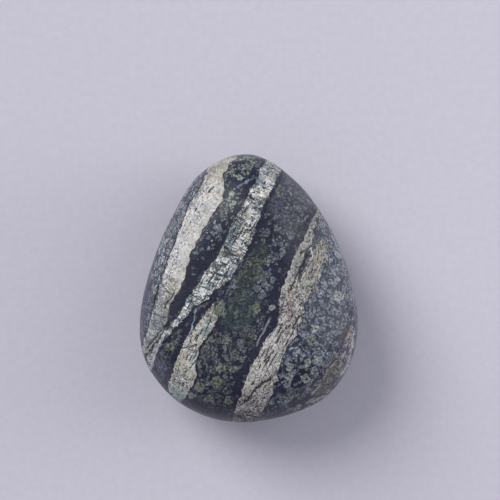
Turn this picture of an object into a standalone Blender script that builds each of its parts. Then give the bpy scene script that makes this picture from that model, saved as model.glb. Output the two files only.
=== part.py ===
"""A tumbled serpentine pebble: egg shaped in plan, low domed, resting on a small flat spot.

+Z is up and +Y points to the narrow end. The origin is on the surface that the pebble rests
on, under the middle of its box. Lengths at the top are millimetres and angles are degrees.
"""
import math

import bpy
from mathutils import Vector, noise

MM = 0.001
NAME = "serpentine_pebble"

# Plan outline: distance from the middle to the edge, one heading every 20 degrees.
# Headings turn anticlockwise from +X, and the first one is at 10 degrees.
PLAN_RADII = (
    12.42, 12.50, 13.44, 15.23, 17.12, 15.98, 13.59, 12.39, 12.20,
    13.12, 14.37, 14.96, 15.01, 14.86, 14.86, 15.03, 14.39, 13.30,
)
FIRST_HEADING = 10.0

# Side profile: the widest level, the dome above it and the belly below it.
DOME_HEIGHT = 8.8
BELLY_DEPTH = 7.9
DOME_FULLNESS = 2.6
BELLY_FULLNESS = 2.25
REST_CUT = 0.32

# Faces worn by tumbling: heading and lean of the outward side, and how deep it is worn.
# A lean of 0 looks straight up, 90 sideways and 180 straight down.
WORN_FACES = {
    "crown": (200, 4, 1.40),
    "right shoulder": (18, 25, 0.80),
    "upper left rim": (156, 55, 0.45),
    "lower left ledge": (216, 59, 0.65),
    "upper right rim": (31, 62, 0.40),
    "lower right rim": (306, 58, 0.50),
    "wide end of the belly": (285, 146, 0.80),
    "narrow end of the belly": (82, 150, 0.60),
    "left side of the belly": (190, 138, 0.50),
}
EDGE_SOFTNESS = 0.30

# Hollows on the dome: place in plan, heading of the long way, half length, half width, depth.
HOLLOWS = {
    "groove beside the wide band": ((4.9, -3.6), 63, 2.6, 0.9, 0.16),
    "gap at the foot of the wide band": ((2.3, -11.9), 50, 2.4, 0.9, 0.14),
    "pit on the silver band": ((-6.3, 9.3), 60, 1.1, 0.8, 0.12),
}

# Slight unevenness all over.
LUMP_SPACING = 7.0
LUMP_HEIGHT = 0.11

SPHERE_SUBDIVISIONS = 5
STONE_COLOUR = (0.060, 0.068, 0.075, 1.0)
STONE_ROUGHNESS = 0.42


def plan_radius(heading):
    """Distance to the plan outline, on a smooth closed curve through PLAN_RADII."""
    count = len(PLAN_RADII)
    place = (heading - FIRST_HEADING) / (360.0 / count)
    before = math.floor(place)
    part = place - before
    a, b, c, d = (PLAN_RADII[(before + step) % count] for step in (-1, 0, 1, 2))
    slope_b = (c - a) / 2
    slope_c = (d - b) / 2
    return (
        b
        + slope_b * part
        + (3 * (c - b) - 2 * slope_b - slope_c) * part ** 2
        + (2 * (b - c) + slope_b + slope_c) * part ** 3
    )


def egg_point(direction):
    """Where a direction from the middle meets the unworn egg."""
    flat = math.hypot(direction.x, direction.y)
    heading = math.degrees(math.atan2(direction.y, direction.x))
    upper = direction.z >= 0
    fullness = DOME_FULLNESS if upper else BELLY_FULLNESS
    height = DOME_HEIGHT if upper else BELLY_DEPTH
    size = flat ** fullness + abs(direction.z) ** fullness
    reach = size ** (-1 / fullness)
    radius = plan_radius(heading) * reach
    return Vector((direction.x * radius, direction.y * radius, direction.z * height * reach))


def facing(heading, lean):
    """Unit vector for a heading and a lean from straight up."""
    around = math.radians(heading)
    down = math.radians(lean)
    return Vector((
        math.sin(down) * math.cos(around),
        math.sin(down) * math.sin(around),
        math.cos(down),
    ))


def wear_face(points, heading, lean, depth):
    """Press everything beyond one plane softly back to it."""
    outward = facing(heading, lean)
    limit = max(point.dot(outward) for point in points) - depth
    for point in points:
        excess = (point.dot(outward) - limit) / EDGE_SOFTNESS
        pressed = EDGE_SOFTNESS * (max(excess, 0) + math.log1p(math.exp(-abs(excess))))
        point -= outward * pressed


def press_hollow(points, place, heading, half_length, half_width, depth):
    """Sink one long shallow hollow into the dome."""
    along = facing(heading, 90)
    for point in points:
        if point.z < 0:
            continue
        offset = Vector((point.x - place[0], point.y - place[1], 0))
        run = offset.dot(along) / half_length
        across = offset.cross(along).z / half_width
        point.z -= depth * math.exp(-run ** 2 - across ** 2)


def roughen(points):
    """Move each point a little along its own direction, in broad smooth lumps."""
    for point in points:
        lump = noise.noise(point / LUMP_SPACING)
        point += point.normalized() * (LUMP_HEIGHT * lump)


def set_down(points):
    """Cut the resting spot and put the origin under the middle of the box."""
    floor = min(point.z for point in points) + REST_CUT
    for point in points:
        point.z = max(point.z - floor, 0.0)
    middle_x = (max(p.x for p in points) + min(p.x for p in points)) / 2
    middle_y = (max(p.y for p in points) + min(p.y for p in points)) / 2
    for point in points:
        point.x -= middle_x
        point.y -= middle_y


def stone_material():
    """Dark green blue serpentine with a satin polish."""
    material = bpy.data.materials.new("satin_serpentine")
    material.use_nodes = True
    shader = material.node_tree.nodes["Principled BSDF"]
    shader.inputs["Base Color"].default_value = STONE_COLOUR
    shader.inputs["Roughness"].default_value = STONE_ROUGHNESS
    shader.inputs["Metallic"].default_value = 0.0
    return material


def make_pebble():
    """Shape a round sphere into the pebble."""
    bpy.ops.mesh.primitive_ico_sphere_add(subdivisions=SPHERE_SUBDIVISIONS, radius=1.0)
    pebble = bpy.context.active_object
    pebble.name = NAME
    pebble.data.name = NAME
    points = [egg_point(vertex.co.normalized()) for vertex in pebble.data.vertices]
    for heading, lean, depth in WORN_FACES.values():
        wear_face(points, heading, lean, depth)
    for hollow in HOLLOWS.values():
        press_hollow(points, *hollow)
    roughen(points)
    set_down(points)
    for vertex, point in zip(pebble.data.vertices, points):
        vertex.co = point * MM
    pebble.data.shade_smooth()
    pebble.data.materials.append(stone_material())
    return pebble


def main():
    for thing in list(bpy.data.objects):
        bpy.data.objects.remove(thing, do_unlink=True)
    pebble = make_pebble()
    collection = bpy.data.collections.new(NAME)
    bpy.context.scene.collection.children.link(collection)
    for owner in list(pebble.users_collection):
        owner.objects.unlink(pebble)
    collection.objects.link(pebble)


main()
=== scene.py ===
# %% [markdown]
# # A tumbled serpentine pebble
#
# Serpentine is a soft, waxy green to blue black rock. When it cracks underground, the cracks
# fill with chrysotile, which grows as pale silky fibres that run from wall to wall. Rolled for
# weeks in a tumbler, a broken piece becomes an egg shaped pebble with a satin polish, and the
# filled cracks show as pale bands.
#
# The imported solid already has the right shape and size. This script gives it a fine surface
# and a finish made only of nodes, then lights it as the photo is lit.

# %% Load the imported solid
import math
from functools import reduce

import bmesh
import bpy
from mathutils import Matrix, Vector


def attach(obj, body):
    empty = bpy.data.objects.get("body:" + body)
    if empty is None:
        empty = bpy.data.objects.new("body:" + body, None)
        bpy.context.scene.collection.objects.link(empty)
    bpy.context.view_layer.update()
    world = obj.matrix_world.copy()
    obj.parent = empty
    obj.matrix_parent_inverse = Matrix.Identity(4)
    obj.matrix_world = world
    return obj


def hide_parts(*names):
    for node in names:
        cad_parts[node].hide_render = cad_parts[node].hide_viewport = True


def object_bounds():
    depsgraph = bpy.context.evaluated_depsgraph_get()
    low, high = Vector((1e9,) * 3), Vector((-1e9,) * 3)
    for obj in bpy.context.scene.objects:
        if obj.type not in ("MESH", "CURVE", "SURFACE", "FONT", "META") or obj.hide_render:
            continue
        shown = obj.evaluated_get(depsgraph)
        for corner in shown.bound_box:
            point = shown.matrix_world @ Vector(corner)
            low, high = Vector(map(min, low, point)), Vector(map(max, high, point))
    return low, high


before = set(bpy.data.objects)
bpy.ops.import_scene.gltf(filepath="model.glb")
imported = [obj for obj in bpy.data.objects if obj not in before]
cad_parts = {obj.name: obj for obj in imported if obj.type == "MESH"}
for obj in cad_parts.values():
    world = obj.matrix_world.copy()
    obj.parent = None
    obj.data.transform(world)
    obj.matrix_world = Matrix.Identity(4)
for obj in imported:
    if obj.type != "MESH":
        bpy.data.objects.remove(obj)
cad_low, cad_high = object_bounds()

MM = 0.001
PEBBLE_NODE = "serpentine_pebble"

cad_size = (cad_high - cad_low) / MM
print("solid, mm:", [round(side, 2) for side in cad_size])

# %% [markdown]
# ## Small helpers
#
# Colours are easiest to choose as sRGB hex values, as on a screen, but Blender's sockets want
# linear light, so one function turns the one into the other. A node tree is a chain of small
# sums, so one function adds a node, sets it up, links it, and hands back the output that the
# next node needs. The kinds of node that come up most have short names. A range is given its
# value, where that starts and is full, and what comes out at the two, or else 0 and 1.

# %% Colour and node helpers
MATH = "ShaderNodeMath"
VECTOR = "ShaderNodeVectorMath"
RANGE = "ShaderNodeMapRange"
MIX = "ShaderNodeMix"
NOISE = "ShaderNodeTexNoise"
CELLS = "ShaderNodeTexVoronoi"
SPLIT = "ShaderNodeSeparateXYZ"

# Kinds with settings: the kind, the output that is read, and the settings.
SOFT_RANGE = (RANGE, 0, {"interpolation_type": "SMOOTHSTEP"})
BLEND = (MIX, 2, {"data_type": "RGBA"})
VECTOR_BLEND = (MIX, 1, {"data_type": "VECTOR"})
PLUS, MINUS, TIMES, TIMES_PLUS, HIGHEST, LOWEST = (
    (MATH, 0, {"operation": operation})
    for operation in ("ADD", "SUBTRACT", "MULTIPLY", "MULTIPLY_ADD", "MAXIMUM", "MINIMUM"))
VECTOR_PLUS, VECTOR_MINUS, VECTOR_TIMES, SCALE = (
    (VECTOR, 0, {"operation": operation})
    for operation in ("ADD", "SUBTRACT", "MULTIPLY", "SCALE"))
DOT, DISTANCE = (
    (VECTOR, 1, {"operation": operation}) for operation in ("DOT_PRODUCT", "DISTANCE"))


def linear(hex_colour):
    """Turn an sRGB hex colour into linear red, green, blue and alpha."""
    parts = [int(hex_colour[start:start + 2], 16) / 255 for start in (1, 3, 5)]
    light = [part / 12.92 if part <= 0.04045 else ((part + 0.055) / 1.055) ** 2.4
             for part in parts]
    return (*light, 1.0)


def add(tree, kind, inputs=(), out=None, **settings):
    """Add one node with its settings and links, and return one of its outputs, if any."""
    kind, usual_out, usual = kind if isinstance(kind, tuple) else (kind, 0, {})
    node = tree.nodes.new(kind)
    for name, value in {**usual, **settings}.items():
        setattr(node, name, value)
    for key, value in inputs.items() if isinstance(inputs, dict) else enumerate(inputs):
        if isinstance(value, bpy.types.NodeSocket):
            tree.links.new(value, node.inputs[key])
        else:
            node.inputs[key].default_value = value
    return node.outputs[usual_out if out is None else out] if node.outputs else None


def fold(tree, kind, values):
    """Join many values into one by a chain of nodes of one kind."""
    return reduce(lambda joined, value: add(tree, kind, [joined, value]), values)


def new_material(name):
    """A material, its node tree and its shader."""
    material = bpy.data.materials.new(name)
    material.use_nodes = True
    return material, material.node_tree, material.node_tree.nodes["Principled BSDF"]


def put_in_scene(name, data):
    """A new object in the scene."""
    thing = bpy.data.objects.new(name, data)
    bpy.context.scene.collection.objects.link(thing)
    return thing


print("mid grey in linear light:", [round(part, 3) for part in linear("#808080")])

# %% [markdown]
# ## Where the bands run
#
# A band is a filled crack, so inside the stone it is a sheet, and on the surface it shows as a
# strip. Each strip is written down as a few rows: how far up the pebble the row is, and where
# its left and right edges are, in millimetres from the middle of the pebble's box. Between
# the rows a smooth curve is read, so a handful of rows is enough. In the last row of an end
# that tapers, the right edge is left of the left edge, so the band has closed.
#
# The sheets stand upright in the dome. Below the widest level they lean, bend in slow waves
# and pinch out here and there, so the underside shows them in other places, and thinner.

# %% Rows of the pale bands
BANDS = {
    "silver": [
        (15.8, -4.4, -1.2), (14.7, -4.7, -2.1), (13.4, -5.1, -3.0), (11.7, -5.9, -3.0),
        (10.2, -6.8, -3.3), (8.5, -7.5, -4.3), (6.3, -8.3, -5.7), (4.2, -9.1, -6.7),
        (2.1, -9.9, -7.4), (0.3, -10.5, -7.9), (-1.3, -11.1, -8.8), (-3.1, -11.4, -9.5),
        (-4.5, -11.8, -9.8), (-6.0, -12.3, -10.8), (-7.2, -12.7, -11.7), (-8.6, -12.6, -13.2),
    ],
    "fibrous": [
        (15.4, 2.2, 4.4), (13.9, 1.3, 3.8), (12.8, 0.9, 3.2), (11.1, 0.0, 2.4),
        (9.3, -0.9, 1.6), (7.5, -2.0, 0.9), (5.7, -2.7, 0.3), (3.9, -3.7, -0.5),
        (2.1, -5.0, -1.6), (0.7, -5.9, -2.7), (-0.4, -6.6, -4.1), (-1.4, -7.3, -4.9),
        (-2.2, -7.6, -6.5), (-3.1, -8.1, -7.2), (-4.0, -8.9, -8.1), (-5.7, -10.3, -9.6),
        (-7.4, -11.6, -11.0), (-8.6, -12.2, -11.5), (-9.8, -12.0, -11.5), (-10.8, -11.6, -12.1),
    ],
    "offset": [
        (-1.4, -2.9, -3.0), (-1.9, -4.1, -2.8), (-2.9, -5.1, -3.3), (-4.3, -6.2, -4.0),
        (-5.7, -7.2, -4.9), (-7.2, -8.0, -5.7), (-8.7, -8.6, -6.1), (-10.4, -9.1, -6.3),
        (-11.7, -9.5, -6.9), (-12.8, -9.2, -7.3), (-13.7, -7.6, -8.2),
    ],
    "pink": [
        (9.6, 8.5, 7.9), (8.9, 7.9, 8.3), (7.3, 7.1, 7.8), (5.6, 6.3, 7.5), (3.9, 5.4, 6.6),
        (2.1, 4.7, 6.1), (0.8, 4.2, 6.0), (-0.2, 3.8, 7.3), (-1.9, 3.6, 6.7), (-4.1, 3.3, 6.0),
        (-5.5, 2.3, 5.5), (-7.4, 1.3, 4.2), (-9.4, 0.2, 3.5), (-11.6, -0.6, 3.1),
        (-13.4, -1.2, 2.2), (-15.1, -1.8, 1.4), (-16.4, -2.0, 0.6),
    ],
    "branch": [
        (6.4, 9.2, 8.6), (5.6, 8.6, 9.1), (4.3, 7.6, 9.2), (3.0, 6.9, 8.8), (1.4, 6.3, 8.0),
        (0.1, 5.5, 7.6), (-1.0, 5.2, 6.8), (-1.8, 6.4, 5.8),
    ],
    "veinlet": [
        (-3.2, 2.7, 2.5), (-3.8, 2.25, 2.47), (-4.8, 1.80, 1.98), (-5.8, 1.28, 1.44),
        (-6.6, 0.92, 1.02), (-7.2, 0.80, 0.55),
    ],
}
GIRDLE_LEVEL = 7.4
LEAN_RIGHT = -0.18
LEAN_UP = -0.05
BEND_LENGTH = 7.0
BEND = 1.3
PINCH = 0.9
PINCH_FROM = 0.36

for name, rows in BANDS.items():
    width = max(right - left for _, left, right in rows)
    print(f"{name} band: {rows[0][0] - rows[-1][0]:.1f} mm long, up to {width:.1f} mm wide")

# %% [markdown]
# ## The stone's own coordinates
#
# Every pattern is worked out from the place of a point in the stone, in millimetres, and not
# from a flat picture wrapped round it, so it runs through edges and round the back without a
# seam. The same functions are used twice: once in a Geometry Nodes tree, which makes the
# relief, and once in the material, which makes the colours. So a groove gets painted shade, a
# darkening of its colour, exactly where it is deep.
#
# A band's edge is never a clean line. Broad waves bend it, and a fine jitter steps it where
# the blocks of fibre end.

# %% Place in the stone
BAND_HEADING = math.radians(62)
ALONG = (math.cos(BAND_HEADING), math.sin(BAND_HEADING), 0.0)
ACROSS = (math.sin(BAND_HEADING), -math.cos(BAND_HEADING), 0.0)
RAGGED = {"silver": 1.0, "pink": 1.6, "branch": 5.0, "offset": 0.8}
CALM = {"veinlet"}
FLAT = (1.0, 1.0, 0.0)
NOISE_MIDDLE = (0.5, 0.5, 0.5)
RAGGED_LENGTH = 1.0
WAVE_LENGTH = 2.2
WAVE_REACH = 0.45
STEP_LENGTH = 0.50
STEP_REACH = 0.55


def read_place(tree, metres):
    """Turn a position into stone coordinates, with the sheets' lean and their waviness."""
    place = add(tree, SCALE, {0: metres, "Scale": 1 / MM})
    height = add(tree, SPLIT, [place], out=2)
    below = add(tree, MINUS, [GIRDLE_LEVEL, height])
    below = add(tree, HIGHEST, [below, 0.0])
    bend_noise = add(tree, NOISE, {"Vector": place, "Scale": 1 / BEND_LENGTH, "Detail": 0.0},
                     out=1)
    bend = add(tree, VECTOR_MINUS, [bend_noise, NOISE_MIDDLE])
    bend = add(tree, VECTOR, [bend, (BEND, BEND, 0.0), (LEAN_RIGHT, LEAN_UP, 0.0)],
               operation="MULTIPLY_ADD")
    lean = add(tree, SCALE, {0: bend, "Scale": below})
    sheet = add(tree, VECTOR_PLUS, [place, lean])
    waved = sheet
    steps = []
    for length, reach in ((WAVE_LENGTH, WAVE_REACH), (STEP_LENGTH, STEP_REACH)):
        jitter = add(tree, NOISE, {"Vector": place, "Scale": 1 / length, "Detail": 1.0}, out=1)
        jitter = add(tree, VECTOR_MINUS, [jitter, NOISE_MIDDLE])
        jitter = add(tree, SCALE, {0: jitter, "Scale": reach})
        waved = add(tree, VECTOR_PLUS, [waved, jitter])
        steps.append(waved)
    ragged = add(tree, NOISE, {"Vector": place, "Scale": 1 / RAGGED_LENGTH, "Detail": 2.0})
    ragged = add(tree, MINUS, [ragged, 0.5])
    along = add(tree, DOT, [sheet, ALONG])
    across = add(tree, DOT, [sheet, ACROSS])
    return {"place": place, "waved": waved, "jitter": jitter, "along": along,
            "across": across, "height": height, "ragged": ragged, "below": below,
            "swell": add(tree, SPLIT, [bend_noise], out=2),
            "calm_right": add(tree, SPLIT, [steps[0]], out=0),
            "right": add(tree, SPLIT, [waved], out=0), "up": add(tree, SPLIT, [waved], out=1)}


# %% Edges and masks of the bands
LEVEL_REACH = 18.0
SIDE_REACH = 16.0
EDGE_BLUR = 0.06
END_BLUR = 0.25


def draw_edge(tree, level_share, rows, side):
    """Read one edge of a band off a smooth curve through its rows."""
    curve = add(tree, "ShaderNodeFloatCurve", {"Value": level_share})
    mapping = curve.node.mapping
    mapping.extend = "HORIZONTAL"
    line = mapping.curves[0]
    spots = sorted((0.5 + row[0] / (2 * LEVEL_REACH), 0.5 + row[side] / (2 * SIDE_REACH))
                   for row in rows)
    line.points[0].location = spots[0]
    line.points[1].location = spots[-1]
    for spot in spots[1:-1]:
        line.points.new(*spot)
    mapping.update()
    return add(tree, RANGE, [curve, 0.0, 1.0, -SIDE_REACH, SIDE_REACH], clamp=False)


def lay_band(tree, at, level_share, rows, spot, raggedness, pinched):
    """Measure one band: how far in from each edge, its length, and its mask."""
    left = draw_edge(tree, level_share, rows, 1)
    right = draw_edge(tree, level_share, rows, 2)
    from_left = add(tree, MINUS, [spot, left])
    from_right = add(tree, MINUS, [right, spot])
    if raggedness:
        from_right = add(tree, TIMES_PLUS, [at["ragged"], raggedness, from_right])
    inside = add(tree, LOWEST, [from_left, from_right])
    inside = add(tree, MINUS, [inside, pinched])
    mask = add(tree, SOFT_RANGE, [inside, -EDGE_BLUR, EDGE_BLUR])
    top = add(tree, RANGE, [at["up"], rows[0][0], rows[0][0] - END_BLUR])
    foot = add(tree, RANGE, [at["up"], rows[-1][0], rows[-1][0] + END_BLUR])
    level = add(tree, TIMES, [top, foot])
    mask = add(tree, TIMES, [mask, level])
    return {"from_left": from_left, "from_right": from_right, "level": level, "mask": mask}


def lay_bands(tree, at):
    """Measure every band at this place."""
    level_share = add(tree, RANGE, [at["up"], -LEVEL_REACH, LEVEL_REACH])
    pinched = add(tree, MINUS, [at["swell"], PINCH_FROM])
    pinched = add(tree, TIMES, [pinched, PINCH], use_clamp=True)
    pinched = add(tree, TIMES, [pinched, at["below"]])
    bands = {}
    for name, rows in BANDS.items():
        spot = at["calm_right"] if name in CALM else at["right"]
        bands[name] = lay_band(tree, at, level_share, rows, spot, RAGGED.get(name, 0.0), pinched)
    return bands


# %% [markdown]
# ## Grooves and pits
#
# Fibrous bands are a little softer than the rock, and where the two meet the tumbler picks
# grains out. That leaves short grooves beside the bands. Each one is a line from one place to
# another with a width, and its depth fades to the sides, so one small function serves all. The
# same function draws the thin pale streaks further down.

# %% Grooves
GROOVES = {
    "between pink and branch": ((7.0, 4.2), (4.8, -0.2), 0.20, 1.0),
    "gap in the foot of the pink band": ((2.6, -10.6), (1.0, -11.6), 0.30, 1.0),
    "the same gap, lower": ((1.0, -11.6), (-0.5, -13.4), 0.26, 1.0),
    "long crack in the pink band": ((2.9, -7.2), (1.8, -8.7), 0.12, 1.0),
    "crack above it": ((5.9, -3.3), (5.3, -4.5), 0.20, 1.0),
    "right of the offset band": ((-4.1, -4.6), (-5.8, -7.2), 0.20, 1.0),
    "step across the offset band": ((-6.1, -6.6), (-8.0, -7.0), 0.13, 1.0),
    "crack in the fibrous band": ((-1.0, 6.6), (-2.3, 5.4), 0.12, 1.0),
    "second crack there": ((-0.2, 6.9), (-0.9, 6.0), 0.09, 0.7),
    "cross crack, upper": ((0.1, 11.0), (0.9, 10.4), 0.12, 1.0),
    "cross crack, lower": ((0.3, 9.7), (1.4, 9.3), 0.15, 1.0),
    "crack below the band": ((0.9, -0.1), (2.2, 1.2), 0.09, 0.5),
    "end of the fibrous band": ((-5.0, -1.5), (-6.5, -2.3), 0.22, 1.0),
    "pit in the silver band": ((-6.2, 9.5), (-6.35, 9.2), 0.16, 1.2),
    "chips at its top": ((-4.2, 11.9), (-4.7, 11.4), 0.14, 1.0),
    "left of the silver band": ((-9.6, 3.6), (-11.2, -1.6), 0.14, 0.8),
    "silver band, lower right": ((-8.8, -0.5), (-9.9, -2.4), 0.13, 1.0),
    "across the foot of the silver band": ((-11.1, -2.9), (-9.7, -3.5), 0.11, 0.9),
    "left of the thin tail": ((-10.1, -4.6), (-10.9, -5.6), 0.12, 0.9),
    "the same, lower": ((-10.9, -5.6), (-12.0, -7.0), 0.15, 1.0),
    "crack by the rust": ((9.9, -6.3), (10.6, -5.5), 0.10, 0.8),
}
GROOVE_CORE = 0.3
ON_DOME = (GIRDLE_LEVEL - 1, GIRDLE_LEVEL)


def cut_groove(tree, at, start, end, width):
    """One groove: 1 along the line between two places, 0 beside it."""
    start = Vector((*start, 0.0))
    run = Vector((*end, 0.0)) - start
    flat = add(tree, VECTOR_TIMES, [at["waved"], FLAT])
    offset = add(tree, VECTOR_MINUS, [flat, start])
    share = add(tree, DOT, [offset, run / run.length_squared])
    share = add(tree, "ShaderNodeClamp", [share])
    nearest = add(tree, SCALE, {0: run, "Scale": share})
    gap = add(tree, DISTANCE, [offset, nearest])
    return add(tree, SOFT_RANGE, [gap, width, width * GROOVE_CORE])


def cut_grooves(tree, at):
    """All grooves together, on the dome only."""
    deepest = fold(tree, HIGHEST, (add(tree, TIMES, [cut_groove(tree, at, *line), strength])
                                   for *line, strength in GROOVES.values()))
    upper = add(tree, RANGE, [at["height"], *ON_DOME])
    return add(tree, TIMES, [deepest, upper])


# %% [markdown]
# ## Fresh and worn stretches
#
# A band isn't the same from end to end. Where it is fresh it is cleaner and paler, and where
# it is worn it is duller and more cracked. Each such stretch is a soft oval with a change of
# tone. A change below nothing also opens the cracks and breaks the tone into chips. One oval
# is painted shade instead: the tip of the pink band, where the bottom rim turns from the lamp.

# %% Ovals and changes of tone
OVAL_BLUR = (1.3, 0.7)


def lay_oval(tree, at, place, half_sizes, turn):
    """One soft oval: 1 in the middle, 0 outside. Its second half size lies along the turn."""
    flat = add(tree, VECTOR_TIMES, [at["waved"], FLAT])
    offset = add(tree, VECTOR_MINUS, [flat, (*place, 0.0)])
    turned = add(tree, "ShaderNodeVectorRotate",
                 {"Vector": offset, "Angle": math.radians(90 - turn)}, rotation_type="Z_AXIS")
    scaled = add(tree, VECTOR_TIMES, [turned, (1 / half_sizes[0], 1 / half_sizes[1], 0.0)])
    reach = add(tree, VECTOR, [scaled], out=1, operation="LENGTH")
    return add(tree, SOFT_RANGE, [reach, *OVAL_BLUR])


# Where the bands are cleaner or duller than usual: place, half sizes, turn, change of tone.
TONE_CHANGES = {
    "broken foot of the silver band": ((-11.3, -4.4), (2.2, 5.6), 70, -0.26),
    "brown top of the silver band": ((-3.4, 14.6), (2.4, 2.2), 60, -0.12),
    "green top of the offset band": ((-3.8, -2.2), (1.6, 1.8), 60, -0.27),
    "grey middle of the fibrous band": ((-2.5, 2.5), (1.5, 1.9), 60, -0.27),
    "clean middle of the silver band": ((-5.8, 7.6), (1.8, 4.2), 66, 0.03),
    "clean middle of the offset band": ((-6.3, -6.6), (1.8, 4.0), 62, 0.20),
    "clean foot of the fibrous band": ((-4.4, -0.2), (1.6, 4.6), 50, 0.24),
    "clean foot of the pink band": ((1.9, -8.0), (2.2, 4.4), 60, 0.14),
    "middle of the pink band": ((4.7, -2.4), (1.6, 2.6), 62, -0.08),
    "clean foot of the offset band": ((-7.7, -11.6), (1.8, 1.6), 60, 0.14),
    # Painted shade: the tip of the pink band at the bottom rim is darkened, which also chips it.
    "painted shade on the tip of the pink band": ((0.4, -15.6), (1.0, 2.8), 0, -0.25),
    "dull upper edge of the silver band": ((-7.2, 10.2), (0.7, 3.6), 57, -0.16),
}


def change_tone(tree, at):
    """All the changes of tone added up."""
    return fold(tree, PLUS, (add(tree, TIMES, [lay_oval(tree, at, *oval), amount])
                             for *oval, amount in TONE_CHANGES.values()))


# %% [markdown]
# ## Fibres, plates and cracks
#
# Fibres lie across a band, so their noise changes fast along the band and slowly across it.
# Where the sheet was sheared, the fibres were smeared into plates along the band, with long
# pits between them: the same noise, turned the other way. Where the tumbler has worked hardest
# the fibres have broken into blocks, with cracks for borders.
#
# Real chrysotile fibres are a hundredth of a millimetre thick. They are drawn about 0.2 mm
# wide, in bundles, because that is the finest line that the render shows.

# %% Fine fields
FIBRE_WIDTH = 0.24
FIBRE_LENGTH = 1.5
PLATE_LENGTH = 1.7
PLATE_WIDTH = 0.24
BLOCK_LENGTH = 0.55
BLOCK_WIDTH = 1.00
SPECK = 0.24
PATCH = 1.7
CHIP_SWING = 1.7
CHIP_GRIT = 3.4
BLOCK_WARP = 1.6
CRACK_BLUR = (0.09, 0.02)
CRACKED_PATCH = (0.4, 0.5)
WEAR_GAIN = -2.5


def stretch(tree, at, length, width):
    """Coordinates for a pattern that is this long along the bands and this wide across them."""
    turned = add(tree, "ShaderNodeCombineXYZ", [at["along"], at["across"], at["height"]])
    return add(tree, VECTOR_TIMES, [turned, (1 / length, 1 / width, 1 / width)])


def fine_fields(tree, at):
    """Noises that the relief and the colours share."""
    fibre = add(tree, NOISE, {"Vector": stretch(tree, at, FIBRE_WIDTH, FIBRE_LENGTH), "Scale": 1.0,
                              "Detail": 1.0, "Distortion": 0.5})
    plate = add(tree, NOISE, {"Vector": stretch(tree, at, PLATE_LENGTH, PLATE_WIDTH), "Scale": 1.0,
                              "Detail": 2.0, "Roughness": 0.6, "Distortion": 0.3}, out=1)
    plate = add(tree, SPLIT, [plate])
    warp = add(tree, SCALE, {0: at["jitter"], "Scale": BLOCK_WARP})
    spot = add(tree, VECTOR_PLUS, [stretch(tree, at, BLOCK_LENGTH, BLOCK_WIDTH), warp])
    crack = add(tree, CELLS, {"Vector": spot, "Scale": 1.0}, feature="DISTANCE_TO_EDGE")
    crack = add(tree, SOFT_RANGE, [crack, *CRACK_BLUR])
    block = add(tree, CELLS, {"Vector": spot, "Scale": 1.0}, out=1)
    block = add(tree, SPLIT, [block])
    speck = add(tree, NOISE, {"Vector": at["place"], "Scale": 1 / SPECK, "Detail": 2.0,
                              "Roughness": 0.75}, out=1)
    speck = add(tree, SPLIT, [speck])
    patch = add(tree, NOISE, {"Vector": at["place"], "Scale": 1 / PATCH, "Detail": 3.0,
                              "Roughness": 0.6}, out=1)
    patch = add(tree, SPLIT, [patch])
    broken = add(tree, RANGE, [patch.node.outputs[1], *CRACKED_PATCH])
    crack = add(tree, TIMES, [crack, broken])
    change = change_tone(tree, at)
    # Wear from changes of tone below nothing, including the painted shade at the pink tip.
    worn = add(tree, TIMES, [change, WEAR_GAIN], use_clamp=True)
    chips = add(tree, TIMES_PLUS, [speck, CHIP_GRIT, block])
    chips = add(tree, PLUS, [chips, -0.5 - CHIP_GRIT / 2])
    chips = add(tree, TIMES, [chips, worn])
    change = add(tree, TIMES_PLUS, [chips, CHIP_SWING, change])
    return {"fibre": fibre, "plate": plate, "pit": plate.node.outputs[1], "crack": crack,
            "block": block, "speck": speck, "patch": patch, "wash": patch.node.outputs[2],
            "change": change, "worn": worn}


print(f"fibres {FIBRE_WIDTH} mm wide, plates {PLATE_LENGTH} mm long, specks {SPECK} mm across")

# %% [markdown]
# ## How each band is broken
#
# The silver band is whole, the fibrous one is blocky, and the others are plates with pits.
# One table says how much of each a band has, for the relief and the colours alike.

# %% Pits and cracks of the bands
# Name: cover of pits, strength of cracks.
BROKEN = {
    "silver": (-0.5, 0.0), "fibrous": (0.02, 0.90), "offset": (0.07, 0.25),
    "pink": (0.05, 0.15), "branch": (0.05, 0.2),
}
PIT_SPREAD = 0.22
PIT_BLUR = (0.02, -0.03)


def break_band(tree, mask, fields, pitted, cracked):
    """Pits and cracks inside one band: 1 at the bottom of each, 0 elsewhere."""
    level = 0.5 - PIT_SPREAD * (0.5 - pitted)
    pit = add(tree, SOFT_RANGE, [fields["pit"], level + PIT_BLUR[0], level + PIT_BLUR[1]])
    crack = add(tree, HIGHEST, [fields["worn"], cracked])
    crack = add(tree, TIMES, [fields["crack"], crack])
    pit = add(tree, HIGHEST, [pit, crack])
    return add(tree, TIMES, [pit, mask])


def break_bands(tree, bands, fields):
    """Pits and cracks of all the broad bands."""
    return fold(tree, HIGHEST, (break_band(tree, bands[name]["mask"], fields, *amounts)
                                for name, amounts in BROKEN.items()))


# %% [markdown]
# ## A fine surface on the solid
#
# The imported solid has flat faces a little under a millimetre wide. A copy of its mesh is made
# finer by subdivision, which rounds the corners away without changing the size. The copy then
# takes the solid's place in the picture, and the solid stays behind it for weight and contact.

# %% Copy and refine the solid
SUBDIVISIONS = 2
WELD_GAP = 1e-6

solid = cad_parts[PEBBLE_NODE]
surface = bmesh.new()
surface.from_mesh(solid.data)
bmesh.ops.remove_doubles(surface, verts=surface.verts, dist=WELD_GAP)
pebble_mesh = bpy.data.meshes.new("polished_pebble")
surface.to_mesh(pebble_mesh)
surface.free()
pebble_mesh.shade_smooth()
pebble = put_in_scene("polished_pebble", pebble_mesh)

finer = pebble.modifiers.new("finer", "SUBSURF")
finer.levels = SUBDIVISIONS
finer.render_levels = SUBDIVISIONS
finer.subdivision_type = "CATMULL_CLARK"

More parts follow.
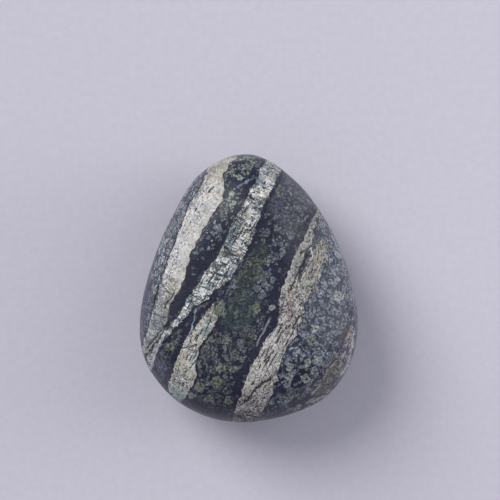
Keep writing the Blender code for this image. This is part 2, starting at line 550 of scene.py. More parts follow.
# %% [markdown]
# ## Relief
#
# Geometry Nodes moves each point along its normal. The amounts are small, because a tumbler
# leaves nothing sharp: bands stand a few hundredths of a millimetre proud, grooves and pits go
# in about a tenth. The relief fades out at the resting spot, which stays flat.

# %% Relief by Geometry Nodes
BAND_RISE = 0.04
GROOVE_DEPTH = 0.16
PIT_DEPTH = 0.07
PLATE_RISE = 0.09
UNEVEN_LENGTH = 1.7
UNEVEN_RISE = 0.06
REST_FADE = 0.8


def cover_bands(tree, bands):
    """One mask for all the broad bands."""
    return fold(tree, HIGHEST, (bands[name]["mask"] for name in BROKEN))


def relief_height(tree, at, bands, fields, grooves):
    """Height of the relief in millimetres."""
    covered = cover_bands(tree, bands)
    uneven = add(tree, NOISE, {"Vector": at["place"], "Scale": 1 / UNEVEN_LENGTH, "Detail": 2.0})
    height = add(tree, TIMES_PLUS, [uneven, UNEVEN_RISE, -UNEVEN_RISE / 2])
    height = add(tree, TIMES_PLUS, [covered, BAND_RISE, height])
    lift = add(tree, PLUS, [fields["plate"], -0.5])
    lift = add(tree, TIMES, [lift, covered])
    height = add(tree, TIMES_PLUS, [lift, PLATE_RISE, height])
    hollow = break_bands(tree, bands, fields)
    height = add(tree, TIMES_PLUS, [hollow, -PIT_DEPTH, height])
    return add(tree, TIMES_PLUS, [grooves, -GROOVE_DEPTH, height])


def make_relief():
    """The node tree that lifts and sinks the surface."""
    tree = bpy.data.node_groups.new("pebble_relief", "GeometryNodeTree")
    tree.interface.new_socket("Geometry", in_out="INPUT", socket_type="NodeSocketGeometry")
    tree.interface.new_socket("Geometry", in_out="OUTPUT", socket_type="NodeSocketGeometry")
    mesh_in = add(tree, "NodeGroupInput")
    at = read_place(tree, add(tree, "GeometryNodeInputPosition"))
    bands = lay_bands(tree, at)
    height = relief_height(tree, at, bands, fine_fields(tree, at), cut_grooves(tree, at))
    rested = add(tree, RANGE, [at["height"], 0.0, REST_FADE])
    height = add(tree, TIMES, [height, rested])
    metres = add(tree, TIMES, [height, MM])
    offset = add(tree, SCALE, {0: add(tree, "GeometryNodeInputNormal"), "Scale": metres})
    moved = add(tree, "GeometryNodeSetPosition", {"Geometry": mesh_in, "Offset": offset})
    add(tree, "NodeGroupOutput", [moved])
    return tree


relief = pebble.modifiers.new("relief", "NODES")
relief.node_group = make_relief()

# %% [markdown]
# ## A flat map for the finish
#
# The pattern needs no map, but a model that leaves Blender carries its finish as a picture, and
# a picture needs one. The pebble is cut once round its widest line. The dome fills the left
# half of the map and the underside the right half, each opened like a flower from its middle,
# so every part gets about the same share of the picture.

# %% Map of the dome and the underside
MAP_NAME = "OFBake"
MAP_MARGIN = 0.008


def lay_map(mesh):
    """Open the dome and the underside into two halves of the unit square."""
    middle = Vector((0.0, 0.0, GIRDLE_LEVEL * MM))
    layer = mesh.uv_layers.new(name=MAP_NAME)
    half_wide = cad_size.x / 2 * MM
    half_long = cad_size.y / 2 * MM
    for face in mesh.polygons:
        upper = face.center.z > middle.z
        for corner in face.loop_indices:
            arm = mesh.vertices[mesh.loops[corner].vertex_index].co - middle
            level = Vector((arm.x / half_wide, arm.y / half_long))
            tilt = math.atan2(level.length, abs(arm.z) / (GIRDLE_LEVEL * MM))
            open_out = level.normalized() * (tilt / (math.pi / 2)) if level.length > 0 else level
            across = 0.25 + (0.25 - MAP_MARGIN) * open_out.x
            layer.uv[corner].vector = (
                across if upper else 1.0 - across,
                0.5 + (0.5 - MAP_MARGIN) * open_out.y,
            )


lay_map(pebble_mesh)
print("faces before subdivision:", len(pebble_mesh.polygons))

# %% [markdown]
# ## Zones of the dark rock
#
# The dark rock isn't the same all over. To the right of the pink band it is packed with pale
# grains, near the middle it is bottle green, and beside the bands it is plain and nearly
# black. A zone is a soft mask, made of the bands' own edges where it ends at a band and of an
# oval where it doesn't. What a zone holds is written in one table: the share covered by large
# grains and by small ones, how pale they are, and the colours of the ground and the grains.
# Along the rims some zones get a lighter ground and paler grains, which is painted sheen.

# %% Ovals and ranges for the zones
OVALS = {
    "fleck strip": ((2.9, 3.4), (1.2, 4.6), 62),
    "olive heart": ((0.3, 2.4), (1.2, 3.6), 62),
    "green heart": ((-0.9, -2.6), (1.9, 2.6), 40),
    "right shoulder": ((5.6, 9.2), (2.6, 5.2), 128),
    "dark right foot": ((6.6, -11.6), (3.0, 3.6), 140),
    # Ochre stained right rim; its paler grains and lighter ground are partly painted sheen.
    "ochre rim": ((11.3, -7.2), (1.1, 4.6), 66),
    "rust touch": ((11.2, -5.2), (0.40, 1.2), 60),
    "tan patch": ((9.7, -10.4), (0.8, 2.3), 55),
    "plain foot edge": ((-5.2, -14.0), (1.0, 4.2), 150),
    # Painted shade: the bottom rim, turned from the lamp, is darker, with fewer, dimmer grains.
    "dark foot rim": ((3.4, -14.7), (0.9, 2.2), 10),
    # Painted sheen: the right rim gets a lighter ground and paler, denser grains.
    "hazy right rim": ((11.2, 3.2), (1.5, 7.5), 111),
    # Painted sheen: the lower left rim gets paler grains on a slate ground.
    "hazy left foot rim": ((-10.4, -10.0), (0.8, 3.4), 127),
    "smooth left rim": ((-12.5, -2.4), (0.9, 4.8), 82),
}

# Each stretch names sides of bands, with the distances where the zone starts and is full, and
# two levels, where it starts and is full. A distance below 0 is outside the band.
SILVER_TO_FIBROUS = [("silver", "from_right", 0.0, -0.2), ("fibrous", "from_left", 0.0, -0.3)]
STRETCHES = {
    "plain navy": (SILVER_TO_FIBROUS, (5.5, 3.0)),
    "beside silver": (SILVER_TO_FIBROUS, (3.0, 5.5)),
    "flecked top": (SILVER_TO_FIBROUS, (7.5, 10.5)),
    "right of pink": ([("pink", "from_right", 0.0, -0.15)], (9.0, 6.5)),
    "foot": ([("fibrous", "from_right", -0.3, -1.0), ("pink", "from_left", -0.2, -0.9)],
             (-3.0, -5.5)),
    # The left rim holds real grains, made paler on a lighter ground as painted sheen.
    "left rim": ([("silver", "from_left", -0.1, -0.3)], (-9.0, -7.0)),
    "left foot": ([("fibrous", "from_right", -0.3, -0.8), ("offset", "from_left", -0.2, -0.7)],
                  (-3.0, -5.0)),
}
# The left rim, with its painted sheen, fades out between these heights.
RIM_FOOT = 2.5
RIM_TOP = 6.0


def lay_stretch(tree, at, bands, sides, levels):
    """One zone that ends at the sides of bands and at a level."""
    zone = add(tree, SOFT_RANGE, [at["up"], *levels])
    for name, side, start, full in sides:
        edge = add(tree, RANGE, [bands[name][side], start, full])
        zone = add(tree, TIMES, [zone, edge])
    return zone


def lay_zones(tree, at, bands):
    """Every zone by name."""
    zones = {name: lay_stretch(tree, at, bands, *limits) for name, limits in STRETCHES.items()}
    zones.update({name: lay_oval(tree, at, *oval) for name, oval in OVALS.items()})
    upper = add(tree, RANGE, [at["height"], RIM_FOOT, RIM_TOP])
    zones["left rim"] = add(tree, TIMES, [zones["left rim"], upper])
    return zones


# %% [markdown]
# ## Grains
#
# The pale grains in the dark rock are talc and carbonate, packed like cobbles with dark seams
# between them. Two sizes of cells are sown. Each cell is cut back from its border, rounded off
# and bent by the fine waves, and it is left empty where the zone is plain. A random number per
# grain makes some paler in the middle, some at the edge, and some olive.

# %% Sow the grains
LARGE_GRAIN = 0.98
SMALL_GRAIN = 0.44
GRAIN_WARP = 1.0
GRAIN_STRETCH = 1.12
GRAIN_RADIUS = 0.64
BORDER_GAIN = 1.4
BORDER_GAP = 0.08
GRAIN_BLUR = 0.06
COVER_BLUR = 0.03


def sow_grains(tree, at, size, cover):
    """Mask of one size of grain, the distance from each middle, and random numbers per grain."""
    warp = add(tree, SCALE, {0: at["jitter"], "Scale": GRAIN_WARP / size})
    spot = stretch(tree, at, GRAIN_STRETCH * size, size / GRAIN_STRETCH)
    spot = add(tree, VECTOR_PLUS, [spot, warp])
    distance = add(tree, CELLS, {"Vector": spot, "Scale": 1.0})
    chance = add(tree, SPLIT, [distance.node.outputs["Color"]])
    border = add(tree, CELLS, {"Vector": spot, "Scale": 1.0}, feature="DISTANCE_TO_EDGE")
    border = add(tree, TIMES_PLUS, [border, BORDER_GAIN, -BORDER_GAP])
    round_off = add(tree, MINUS, [GRAIN_RADIUS, distance])
    body = add(tree, LOWEST, [border, round_off])
    body = add(tree, SOFT_RANGE, [body, 0.0, GRAIN_BLUR])
    grown = add(tree, MINUS, [cover, chance])
    grown = add(tree, RANGE, [grown, -COVER_BLUR, COVER_BLUR])
    return add(tree, TIMES, [body, grown]), distance, chance.node


# %% [markdown]
# ## The grains that stand out
#
# Some grains are large enough to know this pebble by. Each is a round spot: how far right, how
# far up, radius. The nearest spot is found by keeping the greatest closeness, which is 1 in the
# middle of a spot and 0 at its edge, and a darker core turns the spot into a ring.

# %% Marked grains
MARKED_GRAINS = {
    "cream": [
        (8.3, 2.5, 0.50), (7.9, 0.0, 0.45), (10.5, -0.9, 0.70), (10.7, 3.9, 0.40),
        (8.4, 4.6, 0.55), (6.9, -8.7, 0.55), (8.1, -8.5, 0.60), (4.8, -9.2, 0.50),
        (4.7, -10.6, 0.50), (6.7, -10.6, 0.55), (7.9, -4.7, 0.50), (-6.8, -12.6, 0.50),
        (2.8, -2.3, 0.42),
    ],
    "olive": [
        (7.2, -6.1, 0.70), (-9.2, -6.9, 0.60), (-3.3, -9.3, 0.55), (-1.8, -9.4, 0.50),
        (-3.7, -11.0, 0.75), (-5.8, -11.5, 0.60), (-4.7, -13.0, 0.55), (-2.4, -13.4, 0.50),
        (-2.7, -6.2, 0.50), (0.9, -2.3, 0.50), (-3.2, -2.5, 0.55),
    ],
    "blue": [(-1.7, 0.3, 0.28), (-6.4, 1.7, 0.20), (-6.1, 4.2, 0.20)],
}
MARKED_COLOURS = {"cream": "#A3A69E", "olive": "#80846E", "blue": "#8590A0"}
MARKED_STRENGTH = 0.62
MARK_WARP = 1.6
MARK_BLUR = (0.0, 0.22)
# The closeness where the core starts and is full, and its shade at the two.
CORE = (0.45, 0.75, 1.0, 0.55)


def mark_grains(tree, at, colour):
    """Lay the marked grains over the rock."""
    warp = add(tree, SCALE, {0: at["jitter"], "Scale": MARK_WARP})
    spot = add(tree, VECTOR_PLUS, [at["place"], warp])
    flat = add(tree, VECTOR_TIMES, [spot, FLAT])
    upper = add(tree, RANGE, [at["height"], *ON_DOME, 0.0, MARKED_STRENGTH])
    for name, grains in MARKED_GRAINS.items():
        closest = fold(tree, HIGHEST, (
            add(tree, TIMES_PLUS, [add(tree, DISTANCE, [flat, (x, y, 0.0)]), -1 / radius, 1.0])
            for x, y, radius in grains))
        body = add(tree, RANGE, [closest, *MARK_BLUR])
        core = add(tree, RANGE, [closest, *CORE])
        share = add(tree, TIMES, [body, core])
        share = add(tree, TIMES, [share, upper])
        colour = add(tree, BLEND, {0: share, 6: colour, 7: linear(MARKED_COLOURS[name])})
    return colour


# %% [markdown]
# ## Thin pale streaks
#
# A few last threads of chrysotile and tan staining are thinner than any band, and one white
# stroke is a painted glint. They are drawn with the same lines as the grooves, but pale, and
# the fine noise breaks them up.

# %% Streaks
STREAKS = {
    "tail of the fibrous band": ((-11.8, -9.4), (-11.4, -7.9), 0.52, "#DCDEE2"),
    "tail, middle": ((-11.4, -7.9), (-10.5, -6.4), 0.36, "#DCDEE2"),
    "tail, top": ((-10.5, -6.4), (-9.7, -5.0), 0.24, "#CDD0D2"),
    "left of the fibrous band": ((-1.3, 11.9), (0.7, 13.2), 0.10, "#6E788C"),
    "beside it": ((-0.8, 12.2), (-0.1, 12.5), 0.09, "#6E788C"),
    "above the pink band": ((6.3, 7.8), (7.0, 8.7), 0.16, "#7F8683"),
    # Painted highlight: a white glint at the left of the branch.
    "painted glint left of the branch": ((7.3, 4.6), (7.5, 3.8), 0.12, "#E4E2DB"),
    "tan, low": ((7.5, -12.4), (8.4, -11.3), 0.16, "#A69A90"),
    "tan, middle": ((8.7, -10.7), (9.4, -9.5), 0.15, "#A69A90"),
    "tan, high": ((9.6, -9.3), (10.4, -8.4), 0.15, "#A69A90"),
    "left of the offset band": ((-6.1, -2.1), (-6.6, -4.2), 0.12, "#8E979F"),
    "below it": ((-6.7, -4.4), (-7.0, -5.3), 0.16, "#A8B4BC"),
    "cream rim, low": ((11.0, -10.2), (11.7, -9.2), 0.20, "#C6C8C2"),
    "cream rim, middle": ((11.8, -8.8), (12.0, -7.9), 0.18, "#B9BEC0"),
    "cream rim, high": ((12.2, -7.0), (12.5, -5.0), 0.16, "#B9BEC0"),
    "foot rim": ((7.4, -13.6), (9.1, -12.8), 0.20, "#AFA39B"),
}
STREAK_BREAKS = (0.38, 0.5, 0.2, 0.95)


def draw_streaks(tree, at, fields, colour):
    """Lay the streaks over the rock and the bands, on the dome only."""
    broken = add(tree, RANGE, [fields["speck"], *STREAK_BREAKS])
    upper = add(tree, RANGE, [at["height"], *ON_DOME])
    broken = add(tree, TIMES, [broken, upper])
    for *line, streak_hex in STREAKS.values():
        share = add(tree, TIMES, [cut_groove(tree, at, *line), broken])
        colour = add(tree, BLEND, {0: share, 6: colour, 7: linear(streak_hex)})
    return colour


# %% [markdown]
# ## Finish of the dark rock
#
# Satin polished serpentine: almost black navy and bottle green, and waxy. Its refractive index
# is about 1.56, set a little lower here because the photo shows hardly any shine. A tumbler
# leaves it well short of a mirror, so the roughness is near 0.4.

# %% What each zone holds
NAVY = "#181B31"
BLUE_BLACK = "#1B2136"
BOTTLE = "#2F3739"
GREEN = "#303B40"
SLATE = "#2E334A"
# A lighter slate ground for the rims: painted sheen.
SLATE_WITH_PAINTED_SHEEN = "#3E4156"
BROWN_BLACK = "#383943"
GREY_GREEN = "#9EA6A9"
BLUE_GREY = "#9BA3A6"
LEAF = "#A4AE9E"
OLIVE = "#80866F"
DIM_OLIVE = "#7E8680"
WARM_GREY = "#8E9088"
OCHRE = "#B0A8A0"
RUST = "#745A52"
TAN_GREY = "#4E4B4A"
# A lighter grey slate for the left rim and the right shoulder: partly painted sheen.
GREY_SLATE_WITH_PAINTED_SHEEN = "#404450"

# Name: share of large grains, share of small ones, paleness, ground, grain colour.
HOLDS = {
    "plain navy": (0.05, 0.12, 0.26, NAVY, GREY_GREEN),
    "beside silver": (0.50, 0.52, 0.58, BLUE_BLACK, GREY_GREEN),
    "flecked top": (0.50, 0.46, 0.70, BLUE_BLACK, LEAF),
    "right of pink": (0.84, 0.52, 0.58, SLATE, BLUE_GREY),
    "foot": (0.72, 0.52, 0.52, NAVY, DIM_OLIVE),
    "left foot": (0.60, 0.52, 0.42, NAVY, DIM_OLIVE),
    # Left rim: real grains, partly painted sheen.
    "left rim": (0.72, 0.52, 0.76, GREY_SLATE_WITH_PAINTED_SHEEN, GREY_GREEN),
    "fleck strip": (0.54, 0.62, 0.50, BLUE_BLACK, GREY_GREEN),
    "olive heart": (0.34, 0.45, 0.38, BOTTLE, OLIVE),
    "green heart": (0.15, 0.28, 0.32, GREEN, DIM_OLIVE),
    "right shoulder": (0.46, 0.44, 0.40, GREY_SLATE_WITH_PAINTED_SHEEN, WARM_GREY),
    "dark right foot": (0.68, 0.52, 0.58, NAVY, GREY_GREEN),
    # Ochre stain, partly painted sheen.
    "ochre rim": (0.74, 0.70, 0.76, SLATE_WITH_PAINTED_SHEEN, OCHRE),
    "tan patch": (0.60, 0.50, 0.66, TAN_GREY, WARM_GREY),
    "plain foot edge": (0.12, 0.25, 0.30, NAVY, DIM_OLIVE),
    # Painted shade on the bottom rim.
    "dark foot rim": (0.35, 0.40, 0.34, NAVY, GREY_GREEN),
    # Painted sheen along the right rim.
    "hazy right rim": (0.86, 0.62, 0.82, SLATE_WITH_PAINTED_SHEEN, GREY_GREEN),
    # Painted sheen along the left foot rim.
    "hazy left foot rim": (0.42, 0.46, 0.40, SLATE, BLUE_GREY),
    # The smooth left rim lies on the lighter ground of the painted sheen.
    "smooth left rim": (0.42, 0.46, 0.44, SLATE_WITH_PAINTED_SHEEN, WARM_GREY),
    "rust touch": (0.60, 0.50, 0.50, BROWN_BLACK, RUST),
}
ELSEWHERE = (0.26, 0.44, 0.32, NAVY, GREY_GREEN)

# Plain dark seams beside the bands: band, side, how far the seam reaches, how complete it is.
# A seam laps a little under its band, and it holds fewer grains: shares and paleness.
SEAM_LAP = 0.15
SEAM_CORE = 0.6
SEAM_HABIT = (0.0, 0.20, 0.28)
SEAMS = [
    ("fibrous", "from_left", 1.05, 0.90), ("fibrous", "from_right", 0.60, 0.90),
    ("pink", "from_left", 1.35, 0.82), ("silver", "from_left", 0.14, 0.7),
    ("offset", "from_right", 0.3, 0.8), ("offset", "from_left", 0.9, 0.9),
    ("pink", "from_right", 0.2, 0.5), ("silver", "from_right", 0.15, 0.8),
]


def blend_zones(tree, at, bands, zones):
    """What the rock holds here: shares and paleness as one vector, ground, grain colour."""
    habit = add(tree, "ShaderNodeCombineXYZ", ELSEWHERE[:3])
    ground = add(tree, "ShaderNodeRGB")
    ground.default_value = linear(ELSEWHERE[3])
    tint = add(tree, "ShaderNodeRGB")
    tint.default_value = linear(ELSEWHERE[4])
    for name, (large, small, paleness, ground_hex, tint_hex) in HOLDS.items():
        habit = add(tree, VECTOR_BLEND, {0: zones[name], 4: habit, 5: (large, small, paleness)})
        ground = add(tree, BLEND, {0: zones[name], 6: ground, 7: linear(ground_hex)})
        tint = add(tree, BLEND, {0: zones[name], 6: tint, 7: linear(tint_hex)})
    for name, side, reach, strength in SEAMS:
        from_middle = add(tree, PLUS, [bands[name][side], (reach - SEAM_LAP) / 2])
        from_middle = add(tree, MATH, [from_middle], operation="ABSOLUTE")
        half = (reach + SEAM_LAP) / 2
        seam = add(tree, RANGE, [from_middle, half, half * SEAM_CORE, 0.0, strength])
        seam = add(tree, TIMES, [seam, bands[name]["level"]])
        habit = add(tree, VECTOR_BLEND, {0: seam, 4: habit, 5: SEAM_HABIT})
        ground = add(tree, BLEND, {0: seam, 6: ground, 7: linear(NAVY)})
    return habit, ground, tint


# %% Colour of the rock
MOTTLE = 6.4
PLAIN_MOTTLE = 3.4
FULL_COVER = 0.45
RING_DEPTH = 1.3
RING_MIDDLE = 0.35
PALE_HEARTS = 0.45
GRAIN_SHADES = (0.35, 1.0)
THICKER_GAIN = 1.9
THICKER_FROM = 0.05
OLIVE_FROM = 0.6
OLIVE_SHARE = 0.65
DARKEST = 0.15


def colour_rock(tree, at, bands, fields, zones):
    """Colour of the dark rock with its grains, and how far they stand up."""
    habit, ground, tint = blend_zones(tree, at, bands, zones)
    share = add(tree, SPLIT, [habit])
    thicker = add(tree, TIMES_PLUS, [fields["patch"], THICKER_GAIN, THICKER_FROM])
    pale = None
    olive = None
    for size, cover in ((LARGE_GRAIN, share), (SMALL_GRAIN, share.node.outputs[1])):
        cover = add(tree, TIMES, [cover, thicker])
        grain, distance, chance = sow_grains(tree, at, size, cover)
        ring = add(tree, PLUS, [chance.outputs[2], -PALE_HEARTS])
        ring = add(tree, TIMES, [ring, RING_DEPTH])
        inward = add(tree, PLUS, [distance, -RING_MIDDLE])
        shade = add(tree, RANGE, [chance.outputs[1], 0.0, 1.0, *GRAIN_SHADES])
        shade = add(tree, TIMES_PLUS, [inward, ring, shade])
        grain = add(tree, TIMES, [grain, shade])
        pale = grain if pale is None else add(tree, HIGHEST, [pale, grain])
        olive = chance.outputs[2] if olive is None else olive
    strength = add(tree, TIMES, [pale, share.node.outputs[2]], use_clamp=True)
    olive = add(tree, RANGE, [olive, OLIVE_FROM, 1.0, 0.0, OLIVE_SHARE])
    tint = add(tree, BLEND, {0: olive, 6: tint, 7: linear(OLIVE)})
    colour = add(tree, BLEND, {0: strength, 6: ground, 7: tint})
    colour = mark_grains(tree, at, colour)
    swing = add(tree, RANGE, [share.node.outputs[1], 0.0, FULL_COVER, PLAIN_MOTTLE, MOTTLE])
    mottle = add(tree, PLUS, [fields["speck"], -0.5])
    mottle = add(tree, TIMES_PLUS, [mottle, swing, 1.0])
    mottle = add(tree, HIGHEST, [mottle, DARKEST])
    return add(tree, SCALE, {0: colour, "Scale": mottle}), pale


# %% [markdown]
# ## Finish of the pale bands
#
# Chrysotile: silky fibres, pale grey to cream, with the colour of what grew between them. Each
# band has three tones, from the dark gaps to the light sheen, and a cool and a warm wash over
# some patches. The noises choose between them, each with its own weight in each band. Local
# washes follow the photo where one end or side of a band is stained. The left edges face the
# lamp, so they are lighter. Silky fibres scatter more light than the rock, so the bands are
# rougher.

# %% Colours of the bands
# Dark, middle and light tone of each band, then its cool and its warm wash.
BAND_TONES = {
    "silver": ("#5A5F66", "#BAB9B6", "#EDEAE2", "#B2B4B8", "#C6BEAA"),
    "fibrous": ("#3A4148", "#9DA4A4", "#F2F0EA", "#86969A", "#B8B6A8"),
    "offset": ("#464A48", "#ACADA6", "#E4E1D6", "#8A9B9C", "#B0AA98"),
    "pink": ("#4E4A4A", "#9B9793", "#DAD5CE", "#8C8F8F", "#A69A90"),
    "branch": ("#55534F", "#98958D", "#C8C4B6", "#84888E", "#A89F8C"),
    "veinlet": ("#363B46", "#5C626B", "#8A9097", "#666D77", "#6E716E"),
}
# Weights of fibre, block, plate, speck and patch in the tone of each band.
BAND_WEIGHTS = {
    "silver": (0.45, 0.10, 0.75, 2.35, 0.65),
    "fibrous": (1.90, 0.60, 0.25, 3.10, 0.50),
    "offset": (1.20, 0.25, 0.90, 3.20, 0.40),
    "pink": (0.25, 0.10, 0.65, 2.30, 0.35),
    "branch": (0.25, 0.10, 1.20, 1.60, 0.50),
    "veinlet": (0.10, 0.10, 0.60, 1.00, 0.30),
}
WASH_SHARE = {"silver": 0.55, "fibrous": 0.75, "offset": 0.65, "pink": 0.4, "branch": 0.5,
              "veinlet": 0.3}
COOL_WASH = (0.51, 0.58)
WARM_WASH = (0.47, 0.40)
TONE_STOPS = (0.20, 0.48, 0.76)
WORN_COLOUR = "#7C8782"
WORN_SHARE = 0.35
EDGE_REACH = 0.20
EDGE_LIGHT = 0.30

# Local washes: band, what is measured, where the wash starts and is full, share, colour.
LOCAL_WASHES = [
    ("silver", "from_right", 1.9, 0.5, 0.36, "#CDC7B4"),
    ("silver", "up", 11.8, 14.6, 0.35, "#B2AA94"),
    ("silver", "up", -1.0, -3.5, 0.26, "#7F97A8"),
    ("pink", "up", 0.0, 3.5, 0.40, "#8E918A"),
    ("offset", "up", -4.2, -2.0, 0.50, "#868A74"),
    ("offset", "up", -10.8, -12.6, 0.50, "#93A0A4"),
    ("fibrous", "up", 11.8, 13.6, 0.45, "#A0A5A6"),
]


def colour_band(tree, name, at, fields, band):
    """Colour of one band from its tones and washes."""
    tone = add(tree, PLUS, [fields["change"], 0.5])
    for field, weight in zip(("fibre", "block", "plate", "speck", "patch"), BAND_WEIGHTS[name]):
        centred = add(tree, PLUS, [fields[field], -0.5])
        tone = add(tree, TIMES_PLUS, [centred, weight, tone])
    lit_edge = add(tree, RANGE, [band["from_left"], EDGE_REACH, 0.0, 0.0, EDGE_LIGHT])
    tone = add(tree, PLUS, [tone, lit_edge])
    ramp = add(tree, "ShaderNodeValToRGB", [tone])
    stops = ramp.node.color_ramp.elements
    dark, middle, light, cool, warm = (linear(tone_hex) for tone_hex in BAND_TONES[name])
    stops[0].position, stops[0].color = TONE_STOPS[0], dark
    stops[1].position, stops[1].color = TONE_STOPS[2], light
    stops.new(TONE_STOPS[1]).color = middle
    colour = ramp
    for wash_colour, (start, full) in ((cool, COOL_WASH), (warm, WARM_WASH)):
        wash = add(tree, RANGE, [fields["wash"], start, full, 0.0, WASH_SHARE[name]])
        colour = add(tree, BLEND, {0: wash, 6: colour, 7: wash_colour})
    for washed, measure, start, full, share, wash_hex in LOCAL_WASHES:
        if washed == name:
            wash = add(tree, RANGE, [band[measure] if measure in band else at[measure], start,
                                     full, 0.0, share])
            colour = add(tree, BLEND, {0: wash, 6: colour, 7: linear(wash_hex)})
    # Worn stretches are dulled towards grey green, and so is the painted shade at the pink tip.
    dulled = add(tree, TIMES, [fields["worn"], WORN_SHARE])
    dull = add(tree, BLEND, {0: 1.0, 6: colour, 7: linear(WORN_COLOUR)}, blend_type="MULTIPLY")
    return add(tree, BLEND, {0: dulled, 6: colour, 7: dull})


# %% Assemble the finish
POLISH_ROUGHNESS = 0.40
BAND_ROUGHNESS = 0.52
# Painted shade in grooves, pits and cracks: the near black they are darkened towards, and how far.
PAINTED_GROOVE_SHADE = linear("#16161D")
GROOVE_SHARE = 0.92
STONE_INDEX = 1.50
BAND_LEDGE = 0.05
ROCK_SPECK_LIFT = 0.035
BAND_SPECK_LIFT = 0.07
PLATE_LIFT = 0.08
GRAIN_LIFT = 0.020
PIT_SINK = 0.06


def raise_detail(tree, bands, fields, covered, pale, dark):
    """Height in millimetres of the detail that is finer than the mesh."""
    speck_lift = add(tree, RANGE, [covered, 0.0, 1.0, ROCK_SPECK_LIFT, BAND_SPECK_LIFT])
    lift = add(tree, TIMES, [fields["speck"], speck_lift])
    lift = add(tree, TIMES_PLUS, [covered, BAND_LEDGE, lift])
    plate = add(tree, TIMES, [fields["plate"], covered])
    lift = add(tree, TIMES_PLUS, [plate, PLATE_LIFT, lift])
    lift = add(tree, TIMES_PLUS, [pale, GRAIN_LIFT, lift])
    return add(tree, TIMES_PLUS, [dark, -PIT_SINK, lift])


def make_finish():
    """The whole finish of the pebble."""
    material, tree, shader = new_material("satin_serpentine_with_chrysotile")
    shader.inputs["IOR"].default_value = STONE_INDEX
    at = read_place(tree, add(tree, "ShaderNodeTexCoord", out="Object"))
    bands = lay_bands(tree, at)
    fields = fine_fields(tree, at)
    zones = lay_zones(tree, at, bands)

    colour, pale = colour_rock(tree, at, bands, fields, zones)
    for name in ("veinlet", "branch", "pink", "offset", "fibrous", "silver"):
        colour = add(tree, BLEND, {0: bands[name]["mask"], 6: colour,
                                   7: colour_band(tree, name, at, fields, bands[name])})
    colour = draw_streaks(tree, at, fields, colour)
    covered = cover_bands(tree, bands)
    hollow = break_bands(tree, bands, fields)
    # Painted shade: grooves, pits and cracks are darkened where they are deep.
    dark = add(tree, HIGHEST, [hollow, cut_grooves(tree, at)])
    shaded = add(tree, TIMES, [dark, GROOVE_SHARE], use_clamp=True)
    colour = add(tree, BLEND, {0: shaded, 6: colour, 7: PAINTED_GROOVE_SHADE})
    tree.links.new(colour, shader.inputs["Base Color"])

    roughness = add(tree, RANGE, [covered, 0.0, 1.0, POLISH_ROUGHNESS, BAND_ROUGHNESS])
    tree.links.new(roughness, shader.inputs["Roughness"])

    lift = raise_detail(tree, bands, fields, covered, pale, dark)
    bump = add(tree, "ShaderNodeBump", {"Height": lift, "Distance": MM, "Strength": 1.0})
    tree.links.new(bump, shader.inputs["Normal"])
    print("nodes in the finish:", len(tree.nodes))
    return material


pebble_mesh.materials.append(make_finish())
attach(pebble, "root")
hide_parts(PEBBLE_NODE)

# %% [markdown]
# ## Paper, light and camera
#
# The pebble lies on pale lavender paper with a faint tooth. One soft lamp stands at the upper
# left, half way up the sky, and throws the broad shadow to the lower right. A nearer, weaker
# lamp at the right greys the right hand face, and two low ones brighten the rim. A pale room
# fills the shadow.
#
# The camera looks straight down through a long lens, as the photo was taken. It stands at a
# given height, and its lens is worked out from how much of the paper the photo shows.

# %% Paper
PAPER = linear("#D6D2DC")
PAPER_SIDE = 4.0
PAPER_TOOTH = 0.8
PAPER_ROUGHNESS = 0.9
TOOTH_SHADES = (0.3, 0.7, 0.97, 1.02)
TOOTH_DEPTH = 0.02
TOOTH_STRENGTH = 0.7


def make_paper():
    """A wide sheet of faintly toothed paper."""
    bpy.ops.mesh.primitive_plane_add(size=PAPER_SIDE)
    sheet = bpy.context.active_object
    sheet.name = "paper"
    material, tree, shader = new_material("uncoated_lavender_paper")
    shader.inputs["Roughness"].default_value = PAPER_ROUGHNESS
    place = add(tree, "ShaderNodeTexCoord", out="Object")
    tooth = add(tree, NOISE, {"Vector": place, "Scale": 1 / (PAPER_TOOTH * MM), "Detail": 3.0})
    shade = add(tree, RANGE, [tooth, *TOOTH_SHADES])
    colour = add(tree, SCALE, {0: PAPER[:3], "Scale": shade})
    tree.links.new(colour, shader.inputs["Base Color"])
    bump = add(tree, "ShaderNodeBump", {"Height": tooth, "Distance": TOOTH_DEPTH * MM,
                                        "Strength": TOOTH_STRENGTH})
    tree.links.new(bump, shader.inputs["Normal"])
    sheet.data.materials.append(material)
    return sheet


make_paper()

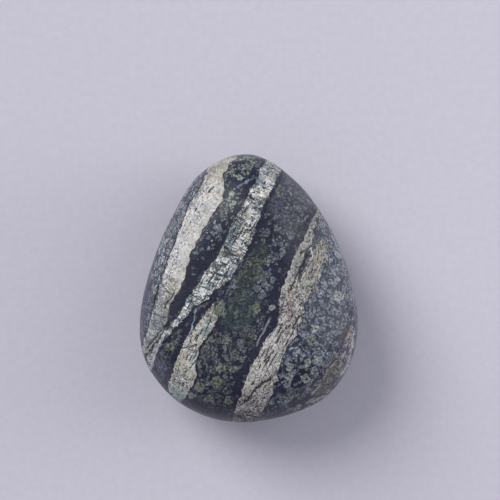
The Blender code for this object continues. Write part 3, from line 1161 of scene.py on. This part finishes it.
# %% Lamps and room
# Heading and rise in degrees, distance and radius in metres, power in watts.
LAMPS = {
    "window_lamp": (136, 45, 2.0, 0.61, 23.4),
    "right_lamp": (18, 42, 0.35, 0.127, 0.18),
    "low_left_lamp": (140, 14, 0.45, 0.096, 0.33),
    "low_right_lamp": (5, 16, 0.30, 0.075, 0.21),
}
ROOM_STRENGTH = 0.345
ROOM = linear("#E3E6FA")


def hang_lamp(name, heading, rise, distance, radius, power):
    """A round soft lamp that faces the pebble and stays out of the picture itself."""
    lamp = bpy.data.lights.new(name, "AREA")
    lamp.shape = "DISK"
    lamp.size = 2 * radius
    lamp.energy = power
    holder = put_in_scene(name, lamp)
    around, up = math.radians(heading), math.radians(rise)
    aim = Vector((math.cos(around) * math.cos(up), math.sin(around) * math.cos(up),
                  math.sin(up)))
    holder.location = aim * distance
    holder.rotation_mode = "QUATERNION"
    holder.rotation_quaternion = aim.to_track_quat("Z", "Y")
    holder.visible_camera = False
    return holder


for lamp_name, lamp_facts in LAMPS.items():
    hang_lamp(lamp_name, *lamp_facts)

room = bpy.data.worlds.new("pale_room")
room.use_nodes = True
room_light = room.node_tree.nodes["Background"]
room_light.inputs["Color"].default_value = ROOM
room_light.inputs["Strength"].default_value = ROOM_STRENGTH
bpy.context.scene.world = room

# %% Camera
FRAME_PIXELS = 500
MM_PER_PIXEL = 0.1196
BOX_MIDDLE = (248.8, 288.0)
CAMERA_DISTANCE = 0.40
CLIP_START = 0.01

camera_data = bpy.data.cameras.new("straight_down")
camera = put_in_scene("straight_down", camera_data)
seen_side = FRAME_PIXELS * MM_PER_PIXEL * MM
camera_data.lens = camera_data.sensor_width * CAMERA_DISTANCE / seen_side
camera_data.clip_start = CLIP_START
camera.location = (
    (FRAME_PIXELS / 2 - BOX_MIDDLE[0]) * MM_PER_PIXEL * MM,
    (BOX_MIDDLE[1] - FRAME_PIXELS / 2) * MM_PER_PIXEL * MM,
    GIRDLE_LEVEL * MM + CAMERA_DISTANCE,
)
bpy.context.scene.camera = camera
bpy.context.scene.view_settings.view_transform = "Standard"
print("lens, mm:", round(camera_data.lens))
